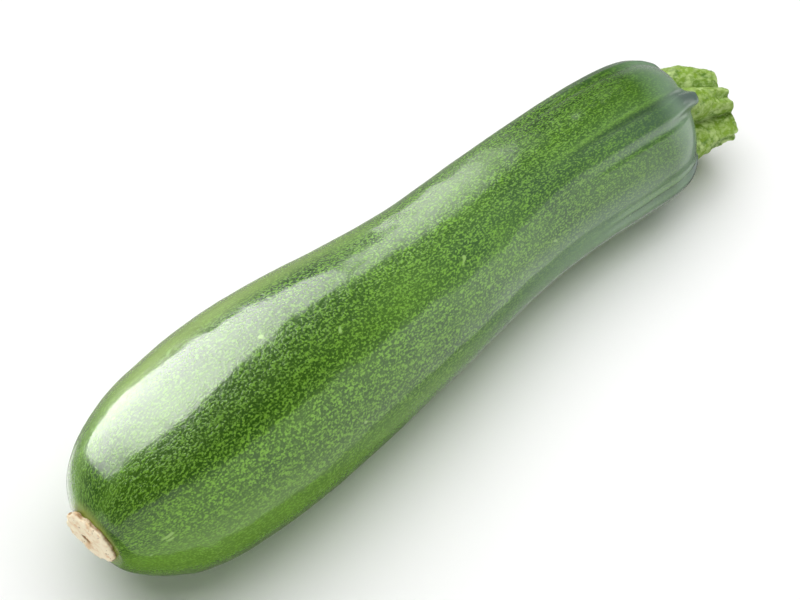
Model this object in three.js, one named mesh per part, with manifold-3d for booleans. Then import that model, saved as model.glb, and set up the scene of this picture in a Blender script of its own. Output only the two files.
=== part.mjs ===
// A courgette lying on its side: the club-shaped fruit, the cut stub of its five-ridged stalk
// and the corky scar that the flower left.
// Millimetres, +Z up. +X runs from the blossom end to the stalk, and the fruit rests on z = 0.
// The origin is the middle of the bounding box at floor level.

import * as THREE from 'three';
import { mergeVertices } from 'three/addons/utils/BufferGeometryUtils.js';
import Module from 'manifold-3d';

const wasm = await Module();
wasm.setup();

// ---- Driving dimensions: millimetres and degrees ----

const BELLY_RADIUS = 24.1;            // thickest, towards the blossom end
const NECK_RADIUS = 18;               // slimmest, towards the stalk
const FRUIT_LENGTH = 179.5;           // blossom face to the rim of the shoulder, along the centre line
const STALK_END = 193.5;              // cut face of the stalk, along the centre line
const SCAR_RADIUS = 6.9;
const SCAR_THICKNESS = 1.7;
const FLAT_DEPTH = 0.4;               // how far each resting spot is flattened
const CLEARANCE = 0.3;                // between the fruit and what grows on it

const RIB_COUNT = 5;
const RIB_ANGLE = 60;                 // one rib on the fruit, from -Y towards +Z
const RIDGE_ANGLE = 68;               // the same rib, where it runs on as a ridge of the stalk
const TURN_START = 12;                // how far before the shoulder's rim the ribs begin to turn
const TURN_END = 4;                   // and how far beyond it they are done
const RIB_HEIGHT = 1.3;               // of each narrow rib at the shoulder
const RIB_SHARPNESS = 5;
const LOBE_HEIGHT = 0.5;              // of the broad swelling between two ribs at the shoulder
const RIB_REACH = 75;                 // how far down from the shoulder's rim the ribs fade away
const RIB_FULL = 8;                   // how near that rim they reach their full height
const RIB_REST = 0.16;                // the share of them that goes on to the blossom end
const TONGUE_SHARPNESS = 4;           // of the skin tongues that run out along the stalk's ridges
const LONG_TONGUE = 68;               // the angle of the longest tongue
const SHORT_TONGUES = 0.5;            // the share of its length that the others have

const FURROW_SHARE = 0.6;             // the stalk's radius in a furrow, as a share of that on a ridge
const CORE_RADIUS = 7;                // within it the furrows close up towards the stalk's middle
const CUT_ROUGHNESS = 0.5;            // of the stalk's cut face
const CUT_SLANT = 0.13;               // rise of that face across the stalk
const CUT_REACH = 6;                  // how far down the stalk the slant and the roughness are felt
const CUT_LONG_SIDE = -30;            // where the stub is longest, from -Y towards +Z

const FRUIT_COLUMNS = 60;             // faces round the fruit and the stalk, in fives
const FRUIT_ROWS = 52;
const STALK_COLUMNS = 50;
const STALK_ROWS = 20;
const SCAR_COLUMNS = 36;
const SCAR_ROWS = 12;

// The scar's uneven edge: waves round it, their height as a share of the radius, their start.
const EDGE_WAVES = [
  [2, 0.04, 1],
  [5, 0.03, 0],
  [9, 0.02, 0],
];

// ---- The centre line, from the blossom face through the fruit and the stalk ----

const bellyHeight = BELLY_RADIUS - FLAT_DEPTH;
const neckHeight = NECK_RADIUS - FLAT_DEPTH;

const centreLine = new THREE.CatmullRomCurve3([
  new THREE.Vector3(-93.5, -0.5, bellyHeight + 1.9),
  new THREE.Vector3(-80, -0.2, bellyHeight + 1.5),
  new THREE.Vector3(-48, 0.3, bellyHeight),
  new THREE.Vector3(0, -0.2, (bellyHeight + neckHeight) / 2 + 0.4),
  new THREE.Vector3(35, 1.3, neckHeight + 1.7),
  new THREE.Vector3(66, 0, neckHeight),
  new THREE.Vector3(80, -2, neckHeight - 0.8),
  new THREE.Vector3(88, -4.4, neckHeight - 1.4),
  new THREE.Vector3(101, -9.9, neckHeight - 3.2),
]);
const lineLength = centreLine.getLength();
const floorUp = new THREE.Vector3(0, 0, 1);

// A point at a distance along the centre line, a radius from it and an angle round it.
function around(along, radius, angle) {
  const share = THREE.MathUtils.clamp(along / lineLength, 0, 1);
  const beyond = along - share * lineLength;
  const forward = centreLine.getTangentAt(share);
  const side = new THREE.Vector3().crossVectors(forward, floorUp).normalize();
  const up = new THREE.Vector3().crossVectors(side, forward);
  return centreLine.getPointAt(share)
    .addScaledVector(forward, beyond)
    .addScaledVector(side, radius * Math.cos(angle))
    .addScaledVector(up, radius * Math.sin(angle));
}

// ---- The five ribs, which run on as the ridges of the stalk ----

const { degToRad, lerp, smoothstep } = THREE.MathUtils;

// 1 on the crest of a rib, 0 midway between two.
function ribNearness(along, angle) {
  const turned = smoothstep(along, FRUIT_LENGTH - TURN_START, FRUIT_LENGTH + TURN_END);
  const crest = degToRad(lerp(RIB_ANGLE, RIDGE_ANGLE, turned));
  return (1 + Math.cos(RIB_COUNT * (angle - crest))) / 2;
}

function ribRelief(along, angle) {
  const nearness = ribNearness(along, angle);
  const fading = lerp(RIB_REST, 1, smoothstep(along, FRUIT_LENGTH - RIB_REACH, FRUIT_LENGTH - RIB_FULL));
  const relief = RIB_HEIGHT * nearness ** RIB_SHARPNESS + LOBE_HEIGHT * (1 - nearness);
  return fading * (relief - LOBE_HEIGHT);
}

// ---- Helpers that make the solids ----

// A closed skin: a sphere whose every vertex is moved to place(round, down), both from 0 to 1.
function closedSkin(columns, rows, place) {
  const geometry = new THREE.SphereGeometry(1, columns, rows);
  const { position, uv } = geometry.attributes;
  for (let i = 0; i < position.count; i += 1) {
    const row = Math.round((1 - uv.getY(i)) * rows);
    const column = Math.floor(uv.getX(i) * columns + 0.25) % columns;
    const spot = place(column / columns, row / rows);
    position.setXYZ(i, spot.x, spot.y, spot.z);
  }
  geometry.deleteAttribute('normal');
  geometry.deleteAttribute('uv');
  return mergeVertices(geometry);
}

function toManifold(geometry) {
  return new wasm.Manifold(new wasm.Mesh({
    numProp: 3,
    vertProperties: new Float32Array(geometry.attributes.position.array),
    triVerts: new Uint32Array(geometry.index.array),
  }));
}

function toGeometry(manifold) {
  const mesh = manifold.getMesh();
  const geometry = new THREE.BufferGeometry();
  geometry.setAttribute('position', new THREE.BufferAttribute(mesh.vertProperties, 3));
  geometry.setIndex(new THREE.BufferAttribute(mesh.triVerts, 1));
  return geometry;
}

// A smooth outline through points of distance along the centre line and radius.
function outline(points) {
  return new THREE.CatmullRomCurve3(points.map(([along, radius]) => new THREE.Vector3(along, radius, 0)));
}

// ---- Fruit ----

// The blossom end, the belly and the taper to the neck are the same all round.
const bodyPoints = [
  [0, 0],
  [0, 4.5],
  [0.2, 7.4],
  [3, 11.7],
  [9.5, 17.5],
  [19.5, 21.6],
  [31.5, 23.5],
  [45.5, BELLY_RADIUS],
  [63.5, 23.2],
  [88.5, 20.5],
  [113.5, 18.6],
  [138.5, NECK_RADIUS],
  [159.5, NECK_RADIUS - 0.1],
  [171, 17.2],
];

// Between two ribs the shoulder rolls over and in, under a rounded lip.
const lobeOutline = outline([
  ...bodyPoints,
  [175.4, 16.1],
  [178, 14.6],
  [179.4, 12.8],
  [179.3, 11.2],
  [177.7, 9.8],
  [176, 0],
]);

// On a rib the skin runs out along the stalk in a tongue.
const tongueOutline = outline([
  ...bodyPoints,
  [175.4, 15.7],
  [178.4, 14.2],
  [180.9, 13.3],
  [183.2, 12.5],
  [183.2, 9],
  [176, 0],
]);

// How far the skin at an angle goes from the lobe's outline to the tongue's.
function tongueShare(angle) {
  const nearLongest = Math.cos(angle - degToRad(LONG_TONGUE)) > Math.cos(Math.PI / RIB_COUNT);
  const reach = nearLongest ? 1 : SHORT_TONGUES;
  return reach * ribNearness(STALK_END, angle) ** TONGUE_SHARPNESS;
}

function fruitGeometry(stalkRoom) {
  const skin = closedSkin(FRUIT_COLUMNS, FRUIT_ROWS, (round, down) => {
    const angle = round * 2 * Math.PI;
    const lobe = lobeOutline.getPoint(down);
    const tongue = tongueOutline.getPoint(down);
    const place = lobe.lerp(tongue, tongueShare(angle));
    const outward = smoothstep(place.y, 0, NECK_RADIUS);
    return around(place.x, place.y + outward * ribRelief(place.x, angle), angle);
  });
  const floor = new THREE.BoxGeometry(2 * STALK_END, 4 * BELLY_RADIUS, BELLY_RADIUS);
  floor.translate(0, 0, -BELLY_RADIUS / 2);
  floor.deleteAttribute('normal');
  floor.deleteAttribute('uv');
  return toGeometry(toManifold(skin).subtract(stalkRoom).subtract(toManifold(mergeVertices(floor))));
}

// ---- Stalk ----

// Five rounded ridges with a narrow furrow between each two, and a rough, slightly hollow cut.
const ridgeOutline = outline([
  [176.5, 0],
  [176.5, 6],
  [177, 11.8],
  [179.5, 12.8],
  [183.5, 11.9],
  [187.5, 10.4],
  [191.3, 9],
  [STALK_END, 8.1],
  [STALK_END - 0.3, 4],
  [STALK_END - 0.9, 0],
]);

// grown makes it larger all over, for the room that the fruit leaves round it.
function stalkGeometry(grown) {
  return closedSkin(STALK_COLUMNS, STALK_ROWS, (round, down) => {
    const angle = round * 2 * Math.PI;
    const { x: along, y: ridge } = ridgeOutline.getPoint(down);
    const rounded = Math.sqrt(ribNearness(along, angle));
    const outward = smoothstep(ridge, 0, CORE_RADIUS);
    const radius = ridge * lerp(1, lerp(FURROW_SHARE, 1, rounded), outward);
    const slant = CUT_SLANT * ridge * Math.cos(angle - degToRad(CUT_LONG_SIDE));
    const ragged = CUT_ROUGHNESS * outward * Math.sin(3 * angle + 1) * Math.sin(7 * angle);
    const end = smoothstep(along, STALK_END - CUT_REACH, STALK_END) * (slant + ragged);
    return around(along + end + grown * Math.sign(down - 0.5), radius + Math.min(ridge, grown), angle);
  });
}

// ---- Blossom scar ----

// A thin pad with a slightly sunken middle and an uneven edge.
const scarOutline = outline([
  [-SCAR_THICKNESS * 0.8, 0],
  [-SCAR_THICKNESS, 3.5],
  [-SCAR_THICKNESS * 0.9, SCAR_RADIUS - 1],
  [-SCAR_THICKNESS * 0.4, SCAR_RADIUS],
  [-CLEARANCE - 0.1, SCAR_RADIUS - 0.3],
  [-CLEARANCE, 4],
  [-CLEARANCE, 0],
]);

function scarGeometry() {
  return closedSkin(SCAR_COLUMNS, SCAR_ROWS, (round, down) => {
    const angle = round * 2 * Math.PI;
    const { x: along, y: radius } = scarOutline.getPoint(1 - down);
    const waves = EDGE_WAVES.map(([count, height, start]) => height * Math.sin(count * angle + start));
    const ragged = waves.reduce((sum, wave) => sum + wave, 1);
    return around(along, radius * ragged, -angle);
  });
}

// ---- The assembly ----

function piece(name, geometry, colour, roughness) {
  const material = new THREE.MeshStandardMaterial({ color: colour, roughness, metalness: 0 });
  const mesh = new THREE.Mesh(geometry, material);
  mesh.name = name;
  return mesh;
}

const courgette = new THREE.Group();
courgette.add(
  piece('fruit', fruitGeometry(toManifold(stalkGeometry(CLEARANCE))), 0x2f6a1c, 0.3),
  piece('stalk', stalkGeometry(0), 0x8fb14f, 0.8),
  piece('blossom_scar', scarGeometry(), 0xe6c79a, 0.9),
);

const middle = new THREE.Box3().setFromObject(courgette).getCenter(new THREE.Vector3());
courgette.position.set(-middle.x, -middle.y, 0);

export default courgette;
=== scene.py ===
# %% [markdown]
# # A courgette on a pale table
# A courgette is one swollen fruit: a green club with a corky scar at the thick end, where the
# flower dropped off, and the stub of a five-ridged stalk at the slim end.
# The CAD model gives its three pieces at the right size and place.
# Here each piece is modelled again with finer relief in the same space, and gets its finish.
# All three are turned straight first and bent afterwards, because a straight form is easy to
# measure and to paint.

import math

import bpy
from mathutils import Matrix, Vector


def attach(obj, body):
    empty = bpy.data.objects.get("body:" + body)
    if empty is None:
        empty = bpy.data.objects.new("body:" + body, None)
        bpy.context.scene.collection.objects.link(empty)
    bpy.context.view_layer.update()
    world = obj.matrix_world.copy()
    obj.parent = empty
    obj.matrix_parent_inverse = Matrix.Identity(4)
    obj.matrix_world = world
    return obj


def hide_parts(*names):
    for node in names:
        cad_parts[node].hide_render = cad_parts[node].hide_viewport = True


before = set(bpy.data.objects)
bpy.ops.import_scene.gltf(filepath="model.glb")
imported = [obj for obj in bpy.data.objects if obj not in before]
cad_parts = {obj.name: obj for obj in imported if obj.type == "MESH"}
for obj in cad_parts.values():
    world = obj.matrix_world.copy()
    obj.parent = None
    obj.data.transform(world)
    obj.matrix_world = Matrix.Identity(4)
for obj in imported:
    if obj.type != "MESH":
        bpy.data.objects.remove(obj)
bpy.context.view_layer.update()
MM = 0.001                  # the frame is in metres, and the sizes below are in millimetres

# %% [markdown]
# ## Driving sizes
# A few sizes settle the form: the belly, the neck, the length of the fruit, the five ribs.
# They are the sizes of the CAD model, so that each new piece fills the space of its node.

# %% Driving sizes
BELLY_RADIUS = 24.1
NECK_RADIUS = 18.0
FRUIT_LENGTH = 179.5        # along the centre line, from the blossom face to the shoulder's rim
STALK_END = 193.5
FLAT_DEPTH = 0.4            # how far the resting spots are flattened
RIB_COUNT = 5
RIB_STEP = 360 / RIB_COUNT  # degrees from one rib to the next
RIB_ANGLE = 60              # degrees from -Y towards +Z, of one rib on the fruit
RIDGE_ANGLE = 68            # the same rib, where it runs on as a ridge of the stalk
COLUMNS = 120               # faces round a turned form, before it is subdivided
PROFILE_STEPS = 8           # and from one point of its outline to the next

# %% [markdown]
# ## Working as by hand
# The operators act on whatever is selected, so each step first picks the objects it works on.
# A modifier is added, set and applied at once, as a maker would finish one step before the next.

# %% Helpers for picking and for modifiers
def pick(*objects):
    """Selects only these objects and makes the first one active."""
    bpy.ops.object.select_all(action="DESELECT")
    for thing in objects:
        thing.select_set(True)
    bpy.context.view_layer.objects.active = objects[0]


def apply_modifier(form, kind, **settings):
    """Adds a modifier with these settings and applies it."""
    pick(form)
    bpy.ops.object.modifier_add(type=kind)
    modifier = form.modifiers[-1]
    for name, value in settings.items():
        setattr(modifier, name, value)
    bpy.ops.object.modifier_apply(modifier=modifier.name)


def select_vertices(form, test):
    """Goes into edit mode with only the vertices selected whose place passes the test."""
    pick(form)
    bpy.ops.object.mode_set(mode="EDIT")
    bpy.ops.mesh.select_mode(type="VERT")
    bpy.ops.mesh.select_all(action="DESELECT")
    bpy.ops.object.mode_set(mode="OBJECT")
    for vertex in form.data.vertices:
        vertex.select = test(vertex.co)
    bpy.ops.object.mode_set(mode="EDIT")


# %% [markdown]
# ## The centre line
# The fruit curves gently, and the stalk bends aside at its end.
# A Bezier curve through nine points gives that line, and a Curve modifier will later bend the
# straight forms along it. Its twist follows the vertical, so that the top stays the top.

# %% Draw the centre line
def drawn_curve(name, points):
    """A smooth curve through points in millimetres."""
    bpy.ops.object.select_all(action="DESELECT")
    bpy.ops.curve.primitive_bezier_curve_add()
    curve = bpy.context.object
    curve.name = name
    spline = curve.data.splines[0]
    spline.bezier_points.add(len(points) - len(spline.bezier_points))
    for knot, point in zip(spline.bezier_points, points):
        knot.co = Vector(point) * MM
        knot.handle_left_type = "AUTO"
        knot.handle_right_type = "AUTO"
    return curve


BELLY_HEIGHT = BELLY_RADIUS - FLAT_DEPTH
NECK_HEIGHT = NECK_RADIUS - FLAT_DEPTH

centre_line = drawn_curve("centre_line", [
    (-96.1, -3.3, BELLY_HEIGHT + 1.5),
    (-82.6, -1.4, BELLY_HEIGHT + 1.2),
    (-50.6, -0.1, BELLY_HEIGHT),
    (-2.6, -0.6, (BELLY_HEIGHT + NECK_HEIGHT) / 2 + 0.4),
    (32.4, 0.9, NECK_HEIGHT + 1.7),
    (63.4, -0.4, NECK_HEIGHT),
    (77.4, -2.4, NECK_HEIGHT - 0.8),
    (85.4, -4.8, NECK_HEIGHT - 1.4),
    (98.4, -10.3, NECK_HEIGHT - 3.2),
])
centre_line.data.twist_mode = "Z_UP"
centre_line.data.resolution_u = 64
print("centre line, length in mm:", round(centre_line.data.splines[0].calc_length() / MM, 1))

# %% [markdown]
# ## Turned forms and painted shapes
# Round fruit is quickest to turn, like wood on a lathe: half of its outline is drawn as a curve,
# made a mesh and spun about the X axis.
# What isn't the same all round, such as ribs, is a second turned form of the same points.
# It is joined as a shape key, and a vertex group says how far each vertex goes towards it.

# %% Turn a form
def turned_form(name, outline):
    """The outline, in distance along and radius, turned about the X axis and left unmerged."""
    curve = drawn_curve(name, [(along, 0, radius) for along, radius in outline])
    curve.data.resolution_u = PROFILE_STEPS
    bpy.ops.object.convert(target="MESH")
    bpy.ops.object.mode_set(mode="EDIT")
    bpy.ops.mesh.select_all(action="SELECT")
    bpy.ops.mesh.spin(
        steps=COLUMNS, angle=2 * math.pi, center=(0, 0, 0), axis=(1, 0, 0), use_auto_merge=False
    )
    bpy.ops.object.mode_set(mode="OBJECT")
    return bpy.context.object


def polar(place):
    """Distance along in mm, angle from -Y towards +Z in radians, and radius in mm."""
    return place.x / MM, math.atan2(place.z, -place.y), math.hypot(place.y, place.z) / MM


# %% Paint a second form in, or a relief
SLIDER_REACH = 10           # a shape key's slider ends at 1 until it is let go further


def share_group(form, name, share):
    """A vertex group that holds share(along, angle, radius) of each vertex."""
    group = form.vertex_groups.new(name=name)
    for vertex in form.data.vertices:
        group.add([vertex.index], share(*polar(vertex.co)), "REPLACE")
    return group.name


def paint_in(form, other, share, strength=1.0):
    """Moves form's vertices towards other's, by strength times share(along, angle, radius)."""
    pick(form, other)
    bpy.ops.object.join_shapes()
    key = form.data.shape_keys.key_blocks[-1]
    key.vertex_group = share_group(form, other.name, share)
    key.slider_min = -SLIDER_REACH
    key.slider_max = SLIDER_REACH
    key.value = strength
    bpy.data.objects.remove(other)


def raise_where(form, share, height):
    """Moves the surface out by height in mm times share(along, angle, radius), or in if negative."""
    group = share_group(form, "painted", share)
    apply_modifier(form, "DISPLACE", strength=height * MM, mid_level=0, vertex_group=group)
    form.vertex_groups.clear()


# %% Close a form
MERGED = 0.002              # vertices closer than this become one


def close_form(form):
    """Fixes the painted shapes, merges the seam and the poles, and subdivides the form."""
    pick(form)
    form.active_shape_key_index = 0
    bpy.ops.object.shape_key_remove(all=True, apply_mix=True)
    form.vertex_groups.clear()
    bpy.ops.object.mode_set(mode="EDIT")
    bpy.ops.mesh.select_all(action="SELECT")
    bpy.ops.mesh.remove_doubles(threshold=MERGED * MM)
    bpy.ops.mesh.normals_make_consistent(inside=False)
    bpy.ops.object.mode_set(mode="OBJECT")
    bpy.ops.object.shade_smooth()
    apply_modifier(form, "SUBSURF", levels=1, render_levels=1)


# %% [markdown]
# ## Five ribs
# The ribs of a courgette are the continuation of its stalk's ridges.
# They stand out at the shoulder and fade away down the fruit.
# A few small formulas say where a rib runs, how near a spot is to one, and how strongly the ribs
# show there. Every form and every mask below is painted with them.

# %% Where the ribs are
RIB_REACH = 75              # from the rim down to where the ribs have faded away
RIB_FULL = 8                # from the rim down to where they are at full height
RIB_REST = 0.16             # the share of them that goes on to the blossom end
TURN_START = 12             # how far before the rim the ribs begin to turn towards the ridges
TURN_END = 4                # and how far past it they have turned


def smooth_step(value, low, high):
    """0 at low and 1 at high, smooth between, with low above high for a fall."""
    share = min(max((value - low) / (high - low), 0), 1)
    return share * share * (3 - 2 * share)


def towards_rim(along, start, full):
    """0 up to start mm before the shoulder's rim, and 1 from full mm before it."""
    return smooth_step(along, FRUIT_LENGTH - start, FRUIT_LENGTH - full)


def rib_angle(along):
    """The angle of one of the ribs, in degrees, at a distance along the centre line."""
    turned = towards_rim(along, TURN_START, -TURN_END)
    return RIB_ANGLE + (RIDGE_ANGLE - RIB_ANGLE) * turned


def rib_nearness(along, angle):
    """1 on the crest of a rib and 0 midway between two."""
    return (1 + math.cos(RIB_COUNT * (angle - math.radians(rib_angle(along))))) / 2


def stripe(angle, middle, half_width):
    """1 along five lines, the same one beside each rib, and 0 beyond half_width degrees off."""
    off = (math.degrees(angle) - middle + RIB_STEP / 2) % RIB_STEP - RIB_STEP / 2
    return max(0, 1 - (off / half_width) ** 2) ** 2


def rib_strength(along):
    """How strongly the ribs show at a distance along, from RIB_REST to 1."""
    return RIB_REST + (1 - RIB_REST) * towards_rim(along, RIB_REACH, RIB_FULL)


# %% [markdown]
# ## The fruit
# The skin is one closed form. Between two ribs the shoulder rolls over in a rounded lobe, and on
# each rib a tongue of skin runs out along the stalk.
# Lobe and tongue are two outlines that share the body, so one is painted into the other.
# A third form, a millimetre fatter, gives the ribs their height and the furrows their depth.

# %% Outlines of the fruit
BODY = [
    (0, 0), (0, 4.5), (0.2, 7.4), (3, 11.7), (9.5, 17.5), (19.5, 21.6), (31.5, 23.5),
    (45.5, BELLY_RADIUS), (63.5, 23.2), (88.5, 20.5), (113.5, 18.6), (138.5, NECK_RADIUS),
    (159.5, NECK_RADIUS - 0.1), (171, 17.2),
]
LOBE = BODY + [(175.4, 16.1), (178, 14.6), (179.4, 12.8), (179.3, 11.2), (177.7, 9.8), (176, 0)]
TONGUE = BODY + [(175.4, 16.0), (178.4, 14.6), (180.5, 13.6), (182.1, 12.9), (182.3, 11), (176, 0)]
FATTER = [(along, radius + min(radius, 1)) for along, radius in LOBE]
RIB_HEIGHT = 1.3
RIB_SHARPNESS = 5
FURROW_DEPTH = 0.5
NOSE_LEAN = 1.0             # how far the blossom face stands out on its high side
HIGH_SIDE = 61              # degrees from -Y towards +Z, of that side
LEAN_REACH = 11             # how far along the fruit the lean is felt
LEAN_RADIUS = 9             # how far from the middle of the face it is at its most
TONGUE_EDGES = (0.70, 0.94)  # how near the rib's crest a tongue begins and is at full length
LONG_TONGUE = 64            # degrees from -Y towards +Z, of the tongue that is the longest
SHORT_TONGUES = 0.45        # the share of its length that the others have


# %% Model the fruit straight
def lean_at(angle, radius):
    """How far a spot leans out: 1 on the high side, 0 at the centre and -1 on the low side."""
    return math.cos(angle - math.radians(HIGH_SIDE)) * min(radius / LEAN_RADIUS, 1)


def paint_lean(form, outline):
    """Leans a form's blossom end, out on its high side and in on its low side."""
    further = [
        (along - NOSE_LEAN * (1 - smooth_step(along, 0, LEAN_REACH)), radius) for along, radius in outline
    ]
    for side in (1, -1):
        def lean_share(along, angle, radius):
            return max(0, side * lean_at(angle, radius))
        paint_in(form, turned_form("lean", further), lean_share, side)


def model_fruit():
    """The skin, turned straight, with tongues, ribs and furrows painted in."""
    fruit = turned_form("skin", LOBE)

    def outward(radius):
        return smooth_step(radius, 0, NECK_RADIUS)

    def tongue_share(along, angle, radius):
        shape = smooth_step(rib_nearness(STALK_END, angle), *TONGUE_EDGES)
        near_long = abs(math.degrees(angle) - LONG_TONGUE) < RIB_STEP / 2
        return shape * (1 if near_long else SHORT_TONGUES)

    def rib_share(along, angle, radius):
        return outward(radius) * rib_strength(along) * rib_nearness(along, angle) ** RIB_SHARPNESS

    def furrow_share(along, angle, radius):
        return outward(radius) * rib_strength(along) * rib_nearness(along, angle)

    paint_in(fruit, turned_form("tongues", TONGUE), tongue_share)
    paint_in(fruit, turned_form("ribs", FATTER), rib_share, RIB_HEIGHT)
    paint_in(fruit, turned_form("furrows", FATTER), furrow_share, -FURROW_DEPTH)
    paint_lean(fruit, LOBE)
    close_form(fruit)
    return fruit


skin = model_fruit()
print("fruit, faces:", len(skin.data.polygons))

# %% [markdown]
# ## The lines beside each rib
# On its upper side each rib is parted from the next lobe by a fine groove with a raised edge, and
# on its lower side a thin raised line runs along it, with a shallow groove beyond.
# They are too narrow for the coarse form, so they are painted on the subdivided skin, and a
# Displace modifier without a texture moves the surface by the painted amount.

# %% Cut the lines
GROOVE_ABOVE = 8.5          # degrees from the rib's crest
LINES_REACH = 45            # from the rim down to where the lines have faded away
LINES_FULL = 15
RIM_INSIDE = 12             # the radii between which they end on the shoulder's rim
RIM_OUTSIDE = 15
RIB_LINES = [  # degrees from the rib's crest, half width in degrees, height in mm
    (GROOVE_ABOVE, 4, -0.50),
    (13, 4, 0.22),
    (-7, 3.5, 0.25),
    (-12, 5, -0.30),
]


def beside_rib(offset, half_width):
    def share(along, angle, radius):
        rising = towards_rim(along, LINES_REACH, LINES_FULL) * smooth_step(radius, RIM_INSIDE, RIM_OUTSIDE)
        return rising * stripe(angle, rib_angle(along) + offset, half_width)
    return share


for offset, half_width, height in RIB_LINES:
    raise_where(skin, beside_rib(offset, half_width), height)
print("lines beside each rib:", len(RIB_LINES))

# %% [markdown]
# ## Living unevenness
# No grown thing is turned true. A Displace modifier with a cloudy texture pushes the skin in and
# out by a tenth of a millimetre or two, enough to make the edge of a reflection wander.

# %% Make a form uneven
def roughen(form, name, grain, depth):
    """Pushes the surface in and out by up to half the depth, in patches about grain across."""
    texture = bpy.data.textures.new(name, "CLOUDS")
    texture.noise_scale = grain * MM
    apply_modifier(form, "DISPLACE", texture=texture, texture_coords="LOCAL", strength=depth * MM)


roughen(skin, "gentle lumps", grain=16, depth=0.35)
roughen(skin, "small dents", grain=5, depth=0.12)
print("fruit, largest radius in mm:", round(max(polar(v.co)[2] for v in skin.data.vertices), 2))

# %% [markdown]
# ## Bend and rest
# Before the bend, each vertex keeps its straight place in an attribute, for patterns that follow
# the fruit. Then the Curve modifier bends the form along the centre line.
# A courgette rests on two soft spots. Whatever would sink below the table is pressed flat, by
# scaling it to nothing in height about the table's level.

# %% Bend a straight form along the centre line
def bend(form, aside=(0, 0, 0)):
    """Keeps each straight place, then moves the form aside in mm and bends it."""
    straight = form.data.attributes.new("straight", "FLOAT_VECTOR", "POINT")
    for vertex, kept in zip(form.data.vertices, straight.data):
        kept.vector = vertex.co
    select_vertices(form, lambda place: True)
    bpy.ops.transform.translate(value=Vector(aside) * MM)
    bpy.ops.object.mode_set(mode="OBJECT")
    apply_modifier(form, "CURVE", object=centre_line, deform_axis="POS_X")


def press_flat(form):
    """Presses what is below the table's level up to it."""
    select_vertices(form, lambda place: place.z < 0)
    bpy.ops.transform.resize(value=(1, 1, 0), center_override=(0, 0, 0))
    bpy.ops.object.mode_set(mode="OBJECT")


bend(skin)
press_flat(skin)
heights = [vertex.co.z / MM for vertex in skin.data.vertices]
print("fruit, lowest and highest in mm:", round(min(heights), 2), round(max(heights), 2))

# %% [markdown]
# ## The stalk
# The stub of the stalk has five rounded ridges with a narrow furrow between each two.
# It swells where it joins the fruit and ends in a knife cut, slightly hollow and a little askew.
# The furrows are the same form made slimmer, painted in midway between the ribs. A crease splits
# the end of each ridge, and one ridge is thicker than the others.

# %% Model the stalk
CUT_RISE = 1.0              # how far the cut stands out on its longest side, and falls back opposite
SHORT_END = STALK_END - CUT_RISE
CUT_REACH = 6               # how far down the stalk the askew cut is felt
CUT_LONG_SIDE = -30         # degrees from -Y towards +Z
RIDGE = [
    (176.5, 0), (176.5, 6), (177, 11.8), (179.5, 12.8), (183.5, 11.9), (187.5, 10.6), (191.3, 9.4),
    (SHORT_END - 0.3, 9.0), (SHORT_END, 8.3), (SHORT_END - 0.3, 4), (SHORT_END - 0.9, 0),
]
FURROW_SHARE = 0.52         # the stalk's radius in a furrow, as a share of that on a ridge
FURROW_SHARPNESS = 0.4
CORE_RADIUS = 7             # within it the furrows close up
CREASE_DEPTH = 1.2
BIG_RIDGE_RISE = 1.0


def crease_share(along, angle, radius):
    """A crease that splits the end of each ridge in two."""
    return smooth_step(along, 185, 191) * smooth_step(radius, 4, 7) * stripe(angle, RIDGE_ANGLE - 2, 10)


def big_ridge_share(along, angle, radius):
    """The one ridge that is thicker than the others."""
    off = (math.degrees(angle) - RIDGE_ANGLE - RIB_STEP) / (RIB_STEP / 2)
    return max(0, 1 - off ** 2) * smooth_step(along, 181, 187) * smooth_step(radius, 4, 8)


def model_stalk():
    """The stub, turned with round ridges all over, then furrowed, cut, creased and bent."""
    stalk = turned_form("stub", RIDGE)

    def furrow_share(along, angle, radius):
        between = 1 - rib_nearness(STALK_END, angle) ** FURROW_SHARPNESS
        return smooth_step(radius, 0, CORE_RADIUS) * between

    def cut_share(along, angle, radius):
        lean = math.cos(angle - math.radians(CUT_LONG_SIDE)) * radius / CORE_RADIUS
        return smooth_step(along, SHORT_END - CUT_REACH, SHORT_END) * (1 + min(lean, 1)) / 2

    slimmer = [(along, radius * FURROW_SHARE) for along, radius in RIDGE]
    longer = [(along + 2 * CUT_RISE, radius) for along, radius in RIDGE]
    paint_in(stalk, turned_form("furrows", slimmer), furrow_share)
    paint_in(stalk, turned_form("cut", longer), cut_share)
    close_form(stalk)
    raise_where(stalk, crease_share, -CREASE_DEPTH)
    raise_where(stalk, big_ridge_share, BIG_RIDGE_RISE)
    roughen(stalk, "stalk knobs", grain=2.5, depth=0.9)
    roughen(stalk, "stalk grain", grain=0.8, depth=0.3)
    bend(stalk)
    return stalk


stub = model_stalk()
print("stalk, faces:", len(stub.data.polygons))

# %% [markdown]
# ## The blossom scar
# Where the flower fell off, a thin pad of cork has dried: cream, ragged at its edge and pitted.
# Its edge is made ragged by painting a slightly wider disc in, more here and less there. It leans
# with the face it grew on, and its one pit is pressed in.

# %% Model the blossom scar
SCAR_RADIUS = 6.4
SCAR_THICKNESS = 1.2
SCAR_ASIDE = (0, 2.4, 0.8)  # it grew off the middle of the blossom face
SCAR_RAGGED = 0.07          # how much wider or narrower than its radius it is in places
SCAR_SUNK = 0.2             # how far its back lies in the fruit's face
WALL = (0.3, 0.8)           # from where behind the face its side wall begins to where it is all wall
PIT_DEPTH = 0.5
PIT_PLACE = (0.4, -2.0)     # across and up from the middle of the scar
PIT_HALF = (1.6, 1.0)       # half its width and half its height
SCAR = [
    (-SCAR_THICKNESS * 0.95, 0), (-SCAR_THICKNESS, 3.5), (-SCAR_THICKNESS * 0.95, SCAR_RADIUS - 0.5),
    (-SCAR_THICKNESS * 0.75, SCAR_RADIUS), (0, SCAR_RADIUS), (SCAR_SUNK, 4), (SCAR_SUNK, 0),
]


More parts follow.
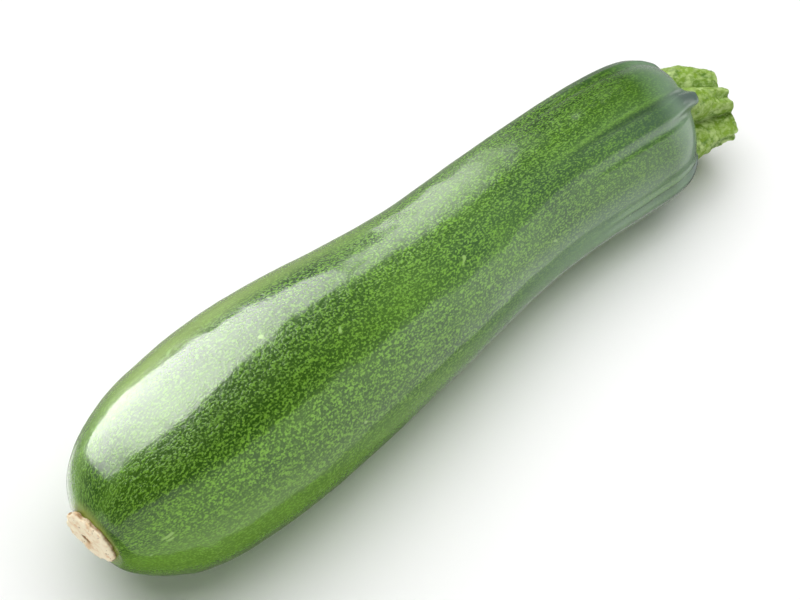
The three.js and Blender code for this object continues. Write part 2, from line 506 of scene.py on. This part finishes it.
def across_scar(angle, radius):
    """A spot's place in mm: across from the high side's left to its right, and up towards it."""
    turn = angle - math.radians(HIGH_SIDE)
    return radius * math.sin(turn), radius * math.cos(turn)


def wall_share(along, angle, radius):
    """1 on the side wall of the pad and 0 on its face."""
    face = -SCAR_THICKNESS - NOSE_LEAN * lean_at(angle, radius)
    return smooth_step(along - face, *WALL)


def pit_share(along, angle, radius):
    """1 in the middle of the one long pit, and 0 outside it."""
    off = zip(across_scar(angle, radius), PIT_PLACE, PIT_HALF)
    return max(0, 1 - sum(((place - middle) / half) ** 2 for place, middle, half in off))


def model_scar():
    """The pad of cork, made ragged, leaning, pitted and rough."""
    low = [(along, radius * (1 - SCAR_RAGGED)) for along, radius in SCAR]
    wide = [(along, radius * (1 + SCAR_RAGGED)) for along, radius in SCAR]
    scar = turned_form("cork", low)

    def ragged(along, angle, radius):
        wave = 0.3 * math.sin(1 - 2 * angle) - 0.3 * math.sin(5 * angle) - 0.4 * math.sin(11 * angle)
        return (1 + wave) / 2

    paint_in(scar, turned_form("wide", wide), ragged)
    paint_lean(scar, low)
    close_form(scar)
    raise_where(scar, pit_share, -PIT_DEPTH)
    roughen(scar, "cork lumps", grain=2.0, depth=0.7)
    roughen(scar, "cork grain", grain=0.5, depth=0.2)
    bend(scar, SCAR_ASIDE)
    return scar


cork = model_scar()
print("scar, faces:", len(cork.data.polygons))

# %% Put the pieces in the frame
for piece, node, slot in ((skin, "fruit", "skin"), (stub, "stalk", "stalk"), (cork, "blossom_scar", "cork")):
    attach(piece, "root")
    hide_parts(node)
bpy.data.objects.remove(centre_line)
print("in the frame:", [piece.name for piece in (skin, stub, cork)])

# %% [markdown]
# ## Building materials from nodes
# Small helpers fill a node's inputs, add a node and join masks and colours.
# Two effects are used by more than one material, so they are node groups: specks, which are
# scattered dots, and patches, which are soft clouds. Each group puts out a mask.

# %% Helpers for nodes
def fill(tree, node, inputs):
    """Fills a node's inputs: a socket is linked, and a plain value is set."""
    for name, value in inputs.items():
        if isinstance(value, bpy.types.NodeSocket):
            tree.links.new(value, node.inputs[name])
        else:
            node.inputs[name].default_value = value


def add_node(tree, kind, inputs, **settings):
    """Adds a node with these settings and fills its inputs."""
    node = tree.nodes.new(kind)
    for name, value in settings.items():
        setattr(node, name, value)
    fill(tree, node, inputs)
    return node


def math_node(tree, operation, *values):
    """One step of arithmetic on masks and plain values."""
    return add_node(tree, "ShaderNodeMath", dict(enumerate(values)), operation=operation).outputs[0]


def tint(tree, mask, under, over):
    """The colour over shows where the mask is 1, and under where it is 0."""
    colours = {0: mask, 6: under, 7: over}
    return add_node(tree, "ShaderNodeMix", colours, data_type="RGBA").outputs[2]


def fade(tree, value, low, high):
    """0 where the value is below low, 1 where it is above high, and smooth between."""
    inputs = {"Value": value, "From Min": low, "From Max": high}
    return add_node(tree, "ShaderNodeMapRange", inputs, interpolation_type="SMOOTHSTEP").outputs[0]


def new_group(name, inputs, outputs):
    """A node group with these inputs and their defaults, and these outputs."""
    group = bpy.data.node_groups.new(name, "ShaderNodeTree")
    for title, value in inputs.items():
        kind = "NodeSocketVector" if title == "Place" else "NodeSocketFloat"
        socket = group.interface.new_socket(title, in_out="INPUT", socket_type=kind)
        if kind == "NodeSocketFloat":
            socket.default_value = value
    for title in outputs:
        group.interface.new_socket(title, in_out="OUTPUT", socket_type="NodeSocketFloat")
    return group, group.nodes.new("NodeGroupInput"), group.nodes.new("NodeGroupOutput")


def in_steps(group, given, step):
    """The group's Place, counted in steps that are Length times as long along the courgette."""
    short = given.outputs[step]
    long = math_node(group, "MULTIPLY", short, given.outputs["Length"])
    steps = add_node(group, "ShaderNodeCombineXYZ", {"X": long, "Y": short, "Z": short})
    counted = {0: given.outputs["Place"], 1: steps.outputs[0]}
    return add_node(group, "ShaderNodeVectorMath", counted, operation="DIVIDE").outputs[0]


# %% Specks
WANDER_SCALE = 1.4          # bends of a speck's edge over one spacing
WANDER = (1.3, 1.3, 1.3)    # how far they push it, in spacings


def make_specks():
    """Scattered dots: Spacing apart in metres, Length times as long, Size as a share of Spacing."""
    sizes = {"Place": None, "Spacing": 0.001, "Length": 1.0, "Size": 0.4, "Softness": 0.1, "Share": 1.0}
    group, given, made = new_group("specks", sizes, ["Mask", "Chance"])
    place = in_steps(group, given, "Spacing")
    wander = add_node(group, "ShaderNodeTexNoise", {"Vector": place, "Scale": WANDER_SCALE, "Detail": 1.0})
    pushed = {0: wander.outputs["Color"], 1: WANDER, 2: place}
    ragged = add_node(group, "ShaderNodeVectorMath", pushed, operation="MULTIPLY_ADD")
    cells = add_node(group, "ShaderNodeTexVoronoi", {"Vector": ragged.outputs[0], "Scale": 1.0})
    edge = math_node(group, "ADD", given.outputs["Size"], given.outputs["Softness"])
    dots = fade(group, cells.outputs["Distance"], edge, given.outputs["Size"])
    chance = add_node(group, "ShaderNodeSeparateColor", {0: cells.outputs["Color"]})
    chosen = math_node(group, "LESS_THAN", chance.outputs[0], given.outputs["Share"])
    mask = math_node(group, "MULTIPLY", dots, chosen)
    group.links.new(mask, made.inputs["Mask"])
    group.links.new(chance.outputs[1], made.inputs["Chance"])
    return group


# %% Patches
def make_patches():
    """Soft clouds about Grain across in metres, Length times as long: Mask from 0 to 1."""
    sizes = {"Place": None, "Grain": 0.01, "Length": 1.0, "Detail": 3.0, "Low": 0.4, "High": 0.6}
    group, given, made = new_group("patches", sizes, ["Mask"])
    place = in_steps(group, given, "Grain")
    clouds = add_node(group, "ShaderNodeTexNoise", {
        "Vector": place, "Scale": 1.0, "Detail": given.outputs["Detail"],
    })
    mask = fade(group, clouds.outputs[0], given.outputs["Low"], given.outputs["High"])
    group.links.new(mask, made.inputs["Mask"])
    return group


SPECKS = make_specks()
PATCHES = make_patches()
print("node groups:", SPECKS.name, "and", PATCHES.name)

# %% Place an effect in a material
def effect(tree, group, **values):
    """Places a node group with these inputs and gives its outputs."""
    inputs = {name.capitalize(): value for name, value in values.items()}
    return add_node(tree, "ShaderNodeGroup", inputs, node_tree=group).outputs


def new_material(name):
    """An empty material with a Principled shader, and the straight place that its patterns read."""
    material = bpy.data.materials.new(name)
    material.use_nodes = True
    tree = material.node_tree
    place = add_node(tree, "ShaderNodeAttribute", {}, attribute_name="straight").outputs["Vector"]
    return material, tree, tree.nodes["Principled BSDF"], place


def bump(tree, height, distance, normal=None):
    """A relief of the height mask, distance deep in metres, on top of another relief's normal."""
    inputs = {"Height": height, "Distance": distance, "Strength": 1.0}
    if normal is not None:
        inputs["Normal"] = normal
    return add_node(tree, "ShaderNodeBump", inputs).outputs[0]


# %% [markdown]
# ## The skin
# Courgette skin is a deep green network, packed with tiny paler flecks in rows along the fruit,
# with a few larger pale spots. It is waxy and shines, and where the wax is thick, on the shoulder
# and below its ribs, it has a grey bloom. Low on the slim half that grey is wax and a painted sheen.
# Flecks and spots could be painted by hand, but there are thousands, so they are node effects.
# Where the skin changes with the form, a mask is painted as an attribute on the vertices, by
# formulas with distances in millimetres and angles in degrees. Some masks paint light and shade
# into the colour.

# %% Unroll the skin
ROW_RADIUS = 20             # the flecks are spread as on a straight tube of this radius
NOSE_STRETCH = 0.023        # how much longer the way over a rounded end is than the way along it
CHANGE_OVER = (60, 140)     # the distances along between which the nearer end changes


def unroll(form):
    """Stores where each vertex would lie on a tube, so that rows of flecks meet at both ends."""
    rows = form.data.attributes.new("rows", "FLOAT_VECTOR", "POINT")
    for kept, target in zip(form.data.attributes["straight"].data, rows.data):
        along, angle, radius = polar(kept.vector)
        side = 1 - 2 * smooth_step(along, *CHANGE_OVER)
        way = along - side * NOSE_STRETCH * (BELLY_RADIUS - radius) ** 2
        target.vector = Vector((way, -ROW_RADIUS * math.cos(angle), ROW_RADIUS * math.sin(angle))) * MM


unroll(skin)
print("skin unrolled, vertices:", len(skin.data.vertices))


# %% Paint masks on a form
def paint_attribute(form, name, share):
    """Stores share(along, angle, radius) of every vertex's straight place in an attribute."""
    mask = form.data.attributes.new(name, "FLOAT", "POINT")
    for kept, target in zip(form.data.attributes["straight"].data, mask.data):
        target.value = share(*polar(kept.vector))
    mean = sum(target.value for target in mask.data) / len(mask.data)
    print(f"{form.name}, mask {name}, mean {mean:.2f}")


def turned_to(angle, low, high):
    """0 at low and 1 at high, in degrees round the fruit from -Y towards +Z."""
    return smooth_step(math.degrees(angle), low, high)


# %% Where the wax is thick, and where a sheen is painted
WAX_BELOW_RIBS = 0.6        # each as a share of the thickest grey
# the grey on the low side of the slim half is wax and a painted sheen
LOW_SIDE_WAX_AND_SHEEN = 0.75
LOW_SIDE_FADE = 0.35       # taken from the low side's grey near the shoulder
# a thin painted sheen over the slim half, below its top
PAINTED_SHEEN = 0.22
LOW_SIDE = -8               # degrees of its middle
LOW_SIDE_HALF = 36          # degrees, half its width


def bloom_and_sheen_share(along, angle, radius):
    """Grey wax on the rims and below each rib; wax and a painted sheen on the slim half, most on its low
    side.
    """
    rim = towards_rim(along, 14, 2)
    below = towards_rim(along, 45, 8) * stripe(angle, rib_angle(along) - 10, 5) * turned_to(angle, 110, 80)
    off = (math.degrees(angle) - LOW_SIDE) / LOW_SIDE_HALF
    low_side = max(0, 1 - off ** 2) * smooth_step(along, 75, 140)
    low_side_grey = LOW_SIDE_WAX_AND_SHEEN - LOW_SIDE_FADE * smooth_step(along, 145, 172)
    thin = PAINTED_SHEEN * smooth_step(along, 40, 120) * turned_to(angle, 95, 65)
    return min(1, rim + WAX_BELOW_RIBS * below + low_side * low_side_grey + thin)


# %% Where the skin is darker: painted shade
LOBE_SHADE = 0.5            # as a share of the shade on a rib
RIB_HALF = 11               # degrees, half the width of a rib's shade


def rib_shade_share(along, angle, radius):
    """Painted shade on a rib and its tongue, and between two ribs at the shoulder."""
    lobe = stripe(angle, rib_angle(along) - 34, 30) * turned_to(angle, 60, 30)
    rib = stripe(angle, rib_angle(along) - 1, RIB_HALF)
    return towards_rim(along, 45, 12) * (rib + LOBE_SHADE * lobe)


def upper_shade_share(along, angle, radius):
    """Painted shade: the upper side of the thick half made darker."""
    return turned_to(angle, 42, 56) * turned_to(angle, 135, 112) * smooth_step(along, 110, 35)


def band_shade_share(along, angle, radius):
    """Painted shade: the band along the near side, just below the top, where the network is darkest."""
    return turned_to(angle, 42, 56) * turned_to(angle, 92, 78) * smooth_step(along, 110, 35)


def groove_shade_share(along, angle, radius):
    """Painted shade: a dark line along the groove above each rib."""
    rising = towards_rim(along, 50, 20) * smooth_step(along, 182, 177)
    return rising * stripe(angle, rib_angle(along) + GROOVE_ABOVE, 5)


# %% Where the skin is paler or yellower, and where light is painted on it
PALE_SIDE = -110            # degrees, the low side that grew in the shade: paler skin, and painted light from below
# the pale line above each rib is a painted highlight on its raised edge
LINE_HIGHLIGHT = 0.6         # each as a share of the pale side's
MIDDLE_PALENESS = 0.6
END_PALENESS = 0.9
RING_OUTSIDE = 9.2          # radii round the scar between which the yellow ring fades
RING_INSIDE = 6.6


def pale_share(along, angle, radius):
    """The pale low side with painted light from below, a painted highlight above each rib, and two paler
    stretches of the near side.
    """
    off = abs((math.degrees(angle) - PALE_SIDE + 180) % 360 - 180)
    # a painted highlight along the raised line above each rib
    line = towards_rim(along, 60, 30) * stripe(angle, rib_angle(along) + 13, 3)
    middle = smooth_step(along, 38, 65) * smooth_step(along, 105, 80) * stripe(angle, 62, 26)
    near_end = smooth_step(along, 70, 20) * stripe(angle, 0, 36)
    pale = 1 - smooth_step(off, 80, 130)
    return min(1, pale + LINE_HIGHLIGHT * line + MIDDLE_PALENESS * middle + END_PALENESS * near_end)


def backlight_share(along, angle, radius):
    """Painted light from behind: the back, past the top, made yellower and paler."""
    return turned_to(angle, 112, 128) * smooth_step(along, 115, 40) * smooth_step(along, 8, 30)


def ring_share(along, angle, radius):
    """The yellowed skin round the scar."""
    off = math.hypot(radius * math.cos(angle) + SCAR_ASIDE[1], radius * math.sin(angle) - SCAR_ASIDE[2])
    return smooth_step(off, RING_OUTSIDE, RING_INSIDE) * smooth_step(along, 12, 6)


# %% Grey tips and fewer flecks
NECK_LOSS = 0.25            # the share of the flecks that is missing on the slim half,
SHOULDER_LOSS = 0.35        # at the shoulder,
RIB_LOSS = 0.3              # and more of them on its ribs


def tip_share(along, angle, radius):
    """The grey tips of the tongues of skin that run out along the stalk."""
    return towards_rim(along, 9, 1) * stripe(angle, RIDGE_ANGLE, 15)


def sparse_share(along, angle, radius):
    """Where the flecks thin out: on the slim half, towards the shoulder and on the ribs."""
    on_rib = stripe(angle, rib_angle(along) - 1, RIB_HALF)
    neck = NECK_LOSS * smooth_step(along, 95, 145)
    return neck + towards_rim(along, 35, 8) * (SHOULDER_LOSS + RIB_LOSS * on_rib)


# %% Paint the skin
SKIN_MASKS = {
    "ring": ring_share, "groove_shade": groove_shade_share, "sparse": sparse_share, "backlight": backlight_share,
    "deep": upper_shade_share, "band_shade": band_shade_share, "tongue": tip_share, "bloom_and_sheen": bloom_and_sheen_share,
    "rib_shade": rib_shade_share, "pale": pale_share,
}
for name, share in SKIN_MASKS.items():
    paint_attribute(skin, name, share)


# %% Helpers for masks and coats of colour
def grey(brightness):
    """A colour without any tint."""
    return brightness, brightness, brightness, 1


def painted(tree, name):
    """The painted mask of that name."""
    return add_node(tree, "ShaderNodeAttribute", {}, attribute_name=name).outputs["Fac"]


def weaker(tree, mask, share):
    """A mask that reaches only to the share."""
    return math_node(tree, "MULTIPLY", mask, share)


def coat(tree, under, name, share, over):
    """Lays a colour over another, at most by the share, where the mask of that name is painted."""
    return tint(tree, weaker(tree, painted(tree, name), share), under, over)


# %% Flecks
FAINTEST = 0.2              # of the dots, as a share of the brightest
GRAIN_SHARE = 0.5           # what the finer grains add to the dots
LINE_SHARE = 0.35           # and what the short lines add
FLECK_EDGE = (0.14, 0.88)   # the sums between which a fleck begins and is full


def skin_flecks(tree, rows):
    """The mask of the pale flecks: dots of unlike brightness, finer grains and short lines."""
    dots = effect(tree, SPECKS, place=rows, spacing=0.00050, length=1.5, size=0.16, softness=0.44)
    grains = effect(tree, PATCHES, place=rows, grain=0.00040, length=1.6, detail=2.0, low=0.42, high=0.68)
    lines = effect(tree, PATCHES, place=rows, grain=0.00042, length=5.0, detail=1.0, low=0.42, high=0.75)
    brightness = math_node(tree, "MULTIPLY_ADD", dots["Chance"], 1 - FAINTEST, FAINTEST)
    unlike = math_node(tree, "MULTIPLY", dots["Mask"], brightness)
    finer = math_node(tree, "MULTIPLY_ADD", grains["Mask"], GRAIN_SHARE, unlike)
    flecks = math_node(tree, "MULTIPLY_ADD", lines["Mask"], LINE_SHARE, finer)
    return fade(tree, flecks, *FLECK_EDGE)


# %% Colours of the skin
DEEP_GREEN = (0.016, 0.066, 0.000, 1)      # of the fine network between the flecks
FLECK_GREEN = (0.190, 0.420, 0.028, 1)
SPOT_GREEN = (0.290, 0.490, 0.110, 1)
UNDER_GREEN = (0.180, 0.390, 0.022, 1)     # of the network on the pale low side, with painted light from below
# the grey of the wax bloom, also used for the painted sheen
BLOOM_AND_SHEEN_GREY = (0.240, 0.355, 0.245, 1)
RIB_GREY = (0.040, 0.090, 0.045, 1)
TONGUE_GREY = (0.095, 0.135, 0.120, 1)
RING_OLIVE = (0.280, 0.360, 0.050, 1)
# painted light from behind, on the back past the top
BACKLIGHT_OLIVE = (0.320, 0.480, 0.100, 1)
SHADE_GREEN = (0.004, 0.030, 0.000, 1)      # the deepest, the painted shade on the upper side, in the band and in the grooves


def skin_colour(tree, place, rows, flecks):
    """Colours laid one over another: network, flecks, painted shade and light, spots, wax and sheen, ends."""
    clouds = effect(tree, PATCHES, place=place, grain=0.012, length=2.0, low=0.30, high=0.70)["Mask"]
    spots = effect(tree, SPECKS, place=rows, spacing=0.009, length=1.4, size=0.06, softness=0.05, share=0.9)
    present = math_node(tree, "SUBTRACT", 1.0, painted(tree, "sparse"))
    cloudy = tint(tree, weaker(tree, clouds, 0.20), DEEP_GREEN, FLECK_GREEN)
    # the paler low side, with painted light from below, and the painted highlight above each rib
    paler = coat(tree, cloudy, "pale", 0.55, UNDER_GREEN)
    # painted shade on the ribs, and between them at the shoulder
    shaded = coat(tree, paler, "rib_shade", 0.7, RIB_GREY)
    # painted shade darkens the network in the band below the top
    network = coat(tree, shaded, "band_shade", 0.6, SHADE_GREEN)
    flecked = tint(tree, math_node(tree, "MULTIPLY", flecks, present), network, FLECK_GREEN)
    # painted shade on the upper side of the thick half
    upper_shade = weaker(tree, painted(tree, "deep"), 0.30)
    # painted shade in the grooves above the ribs
    groove_shades = weaker(tree, painted(tree, "groove_shade"), 0.7)
    deeper = tint(tree, math_node(tree, "MAXIMUM", upper_shade, groove_shades), flecked, SHADE_GREEN)
    # painted light from behind, on the back past the top
    backlit = coat(tree, deeper, "backlight", 0.7, BACKLIGHT_OLIVE)
    spotted = tint(tree, math_node(tree, "MULTIPLY", spots["Mask"], present), backlit, SPOT_GREEN)
    # grey wax, and a painted sheen on the slim half
    wax_and_sheen = coat(tree, spotted, "bloom_and_sheen", 0.7, BLOOM_AND_SHEEN_GREY)
    tipped = coat(tree, wax_and_sheen, "tongue", 0.9, TONGUE_GREY)
    return coat(tree, tipped, "ring", 0.8, RING_OLIVE)


# %% Skin material
FLECK_HEIGHT = 0.00003      # metres
DIMPLE_DEPTH = 0.00006


def skin_finish():
    """Colours under a thin glossy coat of wax, over dimples and barely raised flecks."""
    material, tree, shader, place = new_material("waxy_green_skin")
    rows = add_node(tree, "ShaderNodeAttribute", {}, attribute_name="rows").outputs["Vector"]
    flecks = skin_flecks(tree, rows)
    dimples = effect(tree, PATCHES, place=rows, grain=0.0012, length=1.5, detail=2.0, low=0.0, high=1.0)
    relief = bump(tree, dimples["Mask"], DIMPLE_DEPTH)
    fill(tree, shader, {
        "Base Color": skin_colour(tree, place, rows, flecks),
        "Normal": bump(tree, flecks, FLECK_HEIGHT, relief),
        "Roughness": 0.22, "Coat Weight": 0.6, "Coat Roughness": 0.08,
    })
    return material


# %% [markdown]
# ## The stalk and the scar
# The cut stalk is spongy: yellow-green, with a pale net of dried warts over it, and with shade
# painted darker green into its furrows. The cork is dry and dull, cream on its face and brown where
# it meets the skin.
# Both are matt, so they need no coat, and their colour comes from the same two effects.

# %% Stalk material
STALK_GREEN = (0.185, 0.325, 0.012, 1)
STALK_PALE = (0.430, 0.570, 0.200, 1)
# darker green of the patches, and of the painted shade in the furrows and creases
STALK_DEEP = (0.070, 0.175, 0.001, 1)
WART_HEIGHT = 0.00015       # metres
FURROW_WIDTH = 0.35         # how near a ridge's crest, from 0 midway to 1 on it, a furrow ends


def furrow_shade_paint(along, angle, radius):
    """1 in the stalk's furrows and creases, where shade is painted."""
    between = 1 - smooth_step(rib_nearness(STALK_END, angle), 0, FURROW_WIDTH)
    return min(1, between + crease_share(along, angle, radius))


paint_attribute(stub, "furrow_shade", furrow_shade_paint)


def stalk_finish():
    """Pale warty net over green, darker green in patches, and painted shade in the furrows and creases."""
    material, tree, shader, place = new_material("pale_green_stalk")
    clouds = effect(tree, PATCHES, place=place, grain=0.0014, length=1.4, low=0.42, high=0.72)["Mask"]
    warts = effect(tree, SPECKS, place=place, spacing=0.0010, length=1.2, size=0.20, softness=0.40)["Mask"]
    deep = effect(tree, PATCHES, place=place, grain=0.0030, length=1.5, low=0.50, high=0.66)["Mask"]
    # painted shade in the furrows and creases, with darker green patches
    shade_and_patches = math_node(tree, "MAXIMUM", weaker(tree, painted(tree, "furrow_shade"), 0.6), deep)
    green = tint(tree, shade_and_patches, STALK_GREEN, STALK_DEEP)
    net = math_node(tree, "MAXIMUM", clouds, weaker(tree, warts, 0.5))
    colour = tint(tree, net, green, STALK_PALE)
    relief = bump(tree, net, WART_HEIGHT)
    fill(tree, shader, {"Base Color": colour, "Normal": relief, "Roughness": 0.5})
    return material


# %% Cork material
CORK_CREAM = (0.960, 0.850, 0.620, 1)
CORK_TAN = (0.820, 0.590, 0.350, 1)
CORK_BROWN = (0.280, 0.120, 0.018, 1)
CRACK_HEIGHT = 0.0002       # metres
HOLLOW_EDGE = (0.1, 0.7)    # the depths between which the pit turns brown

paint_attribute(cork, "pit", pit_share)
paint_attribute(cork, "wall", wall_share)


def cork_finish():
    """Cream cork with tan clouds, and brown in its pores, its pit and its worn rim."""
    material, tree, shader, place = new_material("dried_cork")
    clouds = effect(tree, PATCHES, place=place, grain=0.0020, length=1.0, low=0.45, high=0.70)["Mask"]
    pores = effect(tree, SPECKS, place=place, spacing=0.0012, length=1.0, size=0.05, softness=0.25, share=0.4)
    worn = effect(tree, PATCHES, place=place, grain=0.0025, length=1.0, low=0.25, high=0.60)["Mask"]
    rim = math_node(tree, "MULTIPLY", painted(tree, "wall"), worn)
    hollow = fade(tree, painted(tree, "pit"), *HOLLOW_EDGE)
    brown = math_node(tree, "MAXIMUM", rim, math_node(tree, "MAXIMUM", hollow, pores["Mask"]))
    cream = tint(tree, clouds, CORK_CREAM, CORK_TAN)
    colour = tint(tree, weaker(tree, brown, 0.9), cream, CORK_BROWN)
    relief = bump(tree, clouds, CRACK_HEIGHT)
    fill(tree, shader, {"Base Color": colour, "Normal": relief, "Roughness": 0.85})
    return material


# %% Give each piece its finish
for piece, finish in ((skin, skin_finish), (stub, stalk_finish), (cork, cork_finish)):
    piece.data.materials.clear()
    piece.data.materials.append(finish())
    print(piece.name, "is finished as", piece.data.materials[0].name)

# %% [markdown]
# ## The studio
# The courgette lies on a white table under a wide, even ceiling of light, so that its shadow is
# soft all round. The wax shows neither the ceiling nor the table.
# What shines there are cards that light nothing else, each as bright as its reflection needs: a
# large rounded one leans over the fruit from behind, a small one shines on the neck, wide ones
# stand in front and at the left, and low ones take the table's place.

# %% Table
TABLE_SIZE = 6.0
TABLE_WHITE = 0.9


def make_table():
    """A wide white plane that the wax doesn't show."""
    bpy.ops.object.select_all(action="DESELECT")
    bpy.ops.mesh.primitive_plane_add(size=TABLE_SIZE)
    table = bpy.context.object
    table.name = "table"
    material = bpy.data.materials.new("white_table")
    material.use_nodes = True
    fill(material.node_tree, material.node_tree.nodes["Principled BSDF"], {
        "Base Color": grey(TABLE_WHITE), "Roughness": 0.9, "Specular IOR Level": 0.1,
    })
    table.data.materials.append(material)
    table.visible_glossy = False


make_table()
print("table, side in m:", TABLE_SIZE)

# %% Glow of a card
CARD_SOFTNESS = 0.08          # the share of a card, from its rim inwards, over which it fades in
FAR = 0.4                     # how far left of its span a card dims to far_left
EVEN = (-1, 1)                # any span will do for a card that is as bright left as right


def card_glow(name, left, right, span, far_left):
    """A glow that changes from left to right in span, and fades out towards the card's rim."""
    material = bpy.data.materials.new(name)
    material.use_nodes = True
    tree = material.node_tree
    tree.nodes.remove(tree.nodes["Principled BSDF"])
    place = add_node(tree, "ShaderNodeTexCoord", {}).outputs["Object"]
    across = add_node(tree, "ShaderNodeSeparateXYZ", {0: place}).outputs["X"]
    sides = {"Value": across, "From Min": span[0], "From Max": span[1], "To Min": left, "To Max": right}
    beyond = {"Value": across, "From Min": span[0] - FAR, "From Max": span[0], "To Min": far_left}
    strength = math_node(tree, "MULTIPLY", add_node(tree, "ShaderNodeMapRange", sides).outputs[0],
                         add_node(tree, "ShaderNodeMapRange", beyond).outputs[0])
    soft = fade(tree, painted(tree, "inner"), 0, CARD_SOFTNESS)
    glow = add_node(tree, "ShaderNodeEmission", {"Strength": strength})
    clear = add_node(tree, "ShaderNodeBsdfTransparent", {})
    faded = add_node(tree, "ShaderNodeMixShader", {0: soft, 1: clear.outputs[0], 2: glow.outputs[0]})
    tree.links.new(faded.outputs[0], tree.nodes["Material Output"].inputs["Surface"])
    return material


# %% Cards that only the reflections see
def make_card(name, corners, left, right, span=EVEN, far_left=1.0):
    """A flat disc drawn out to corners in metres, with the mask inner 1 at its middle."""
    bpy.ops.object.select_all(action="DESELECT")
    bpy.ops.mesh.primitive_circle_add(vertices=len(corners), fill_type="TRIFAN")
    card = bpy.context.object
    card.name = name
    rim = [Vector(corner) for corner in corners]
    centre = sum(rim, Vector()) / len(rim)
    inner = card.data.attributes.new("inner", "FLOAT", "POINT")
    for vertex, depth in zip(card.data.vertices, inner.data):
        depth.value = 0 if vertex.co.length > 0.5 else 1
        vertex.co = centre if depth.value else rim.pop(0)
    card.data.materials.append(card_glow(name, left, right, span, far_left))
    card.visible_camera = False
    card.visible_diffuse = False
    card.visible_shadow = False
    print(name, "with", len(corners), "corners, brightness", left, "to", right)


# %% Cards behind and at the neck
make_card("card_behind", [   # from the table up over the left, and down on the right
    (-0.18, 0.42, -0.01), (-0.64, 0.42, 0.36), (-0.55, 0.30, 0.45), (-0.16, 0.08, 0.45),
    (-0.02, 0.03, 0.45), (0.08, 0.074, 0.45), (0.18, 0.145, 0.45), (0.27, 0.207, 0.45),
    (0.42, 0.28, 0.45), (0.36, 0.42, 0.22), (0.26, 0.42, 0.19), (0.18, 0.42, 0.12),
    (0.10, 0.42, 0.08), (0.02, 0.42, 0.06), (-0.07, 0.42, 0.02),
], left=9.2, right=4.4, span=(-0.05, 0.33), far_left=0.45)
make_card("card_at_neck", [
    (0.078, 0.137, 0.026), (0.069, 0.108, 0.055), (0.080, 0.070, 0.132), (0.110, 0.045, 0.145),
    (0.135, 0.055, 0.147), (0.135, 0.114, 0.090), (0.125, 0.137, 0.045),
], left=3.5, right=0.35, span=(0.085, 0.121))

# %% Wide cards and low cards
LOW = -0.8                    # the height of the low cards, and where the wide ones end below
WIDE = 4                      # how far the wide ones reach
OUT = 3                       # how far the low ones reach, to the front and to both sides
FRONT = -0.8                  # where the one in front stands
BACK_EDGE = 0.47              # where the low ones end behind the courgette


def low_corners(left_side, right_side):
    """The corners of a low card between two sides."""
    return [(side, edge, LOW) for side, edge in (
        (left_side, -OUT), (right_side, -OUT), (right_side, BACK_EDGE), (left_side, BACK_EDGE),
    )]


make_card("card_in_front", [
    (-WIDE, FRONT, LOW), (-WIDE, FRONT, 1.20), (WIDE, FRONT, 0.03), (WIDE, FRONT, LOW),
], left=0.9, right=1.5, span=(0.62, 0.82))
make_card("card_at_left", [
    (-OUT, -WIDE, LOW), (-OUT, -WIDE, 1.1), (-OUT, 1.4, 0.85), (-OUT, 1.4, LOW),
], left=1.0, right=1.0)
make_card("card_at_nose", [
    (-0.30, 0.43, -0.28), (-0.02, 0.43, -0.28), (0.10, 0.43, -0.95), (-0.30, 0.43, -0.95),
], left=1.4, right=1.4)
make_card("card_below", low_corners(-OUT, 0.60), left=0.10, right=0.32, span=(0.36, 0.43))
make_card("card_below_right", low_corners(0.56, OUT), left=0.12, right=0.12)

# %% Ceiling of light and side light
DARK_ROOM = 0.03             # the room above the horizon
DIM_FLOOR = 0.34             # and below it
HORIZON = (-0.05, 0.15)      # the heights of a ray's direction between which one becomes the other


def make_light(name, place, size, power):
    """A round light that shines towards the courgette and isn't seen in its wax."""
    bpy.ops.object.select_all(action="DESELECT")
    bpy.ops.object.light_add(type="AREA", location=place)
    light = bpy.context.object
    light.name = name
    light.data.shape = "DISK"
    light.data.size = size
    light.data.energy = power
    light.rotation_euler = (-Vector(place)).to_track_quat("-Z", "Y").to_euler()
    light.visible_glossy = False
    light.visible_camera = False


make_light("ceiling_light", place=(0.1, 0.15, 0.8), size=1.35, power=11.8)
make_light("front_light", place=(0.5, -1.0, 0.4), size=0.6, power=3)
make_light("scar_light", place=(-0.8, -0.2, 0.13), size=0.24, power=1.6)


def make_room():
    """The surroundings that the wax reflects where there is no card."""
    world = bpy.data.worlds.new("dark_room")
    bpy.context.scene.world = world
    world.use_nodes = True
    tree = world.node_tree
    direction = add_node(tree, "ShaderNodeTexCoord", {}).outputs["Generated"]
    height = add_node(tree, "ShaderNodeSeparateXYZ", {0: direction}).outputs["Z"]
    above = fade(tree, height, *HORIZON)
    glow = tint(tree, above, grey(DIM_FLOOR), grey(DARK_ROOM))
    tree.links.new(glow, tree.nodes["Background"].inputs["Color"])


make_room()
bpy.context.scene.view_settings.view_transform = "Standard"
print("lights:", [light.name for light in bpy.data.lights])

# %% [markdown]
# ## The camera
# A long lens looks down on the courgette from the front left, so that it runs from the lower
# left of the picture to the upper right.

# %% Camera
AZIMUTH = math.radians(-45.45)
ELEVATION = math.radians(52)
DISTANCE = 0.560
LENS = 111.3
MIDDLE = Vector((0, 0, 0.022))
AIM_LEFT = 0.0037            # the aim lies this far left of the middle and below it
AIM_BELOW = 0.0029


def make_camera():
    """A camera at DISTANCE from MIDDLE that looks just beside it."""
    back = Vector((
        math.sin(AZIMUTH) * math.cos(ELEVATION),
        -math.cos(AZIMUTH) * math.cos(ELEVATION),
        math.sin(ELEVATION),
    ))
    right = Vector((math.cos(AZIMUTH), math.sin(AZIMUTH), 0))
    up = back.cross(right)
    bpy.ops.object.select_all(action="DESELECT")
    bpy.ops.object.camera_add(location=MIDDLE + back * DISTANCE)
    camera = bpy.context.object
    aim = MIDDLE - right * AIM_LEFT - up * AIM_BELOW
    camera.rotation_euler = (aim - camera.location).to_track_quat("-Z", "Y").to_euler()
    camera.data.lens = LENS
    bpy.context.scene.camera = camera


make_camera()
print("camera", DISTANCE, "m away, lens", LENS, "mm")
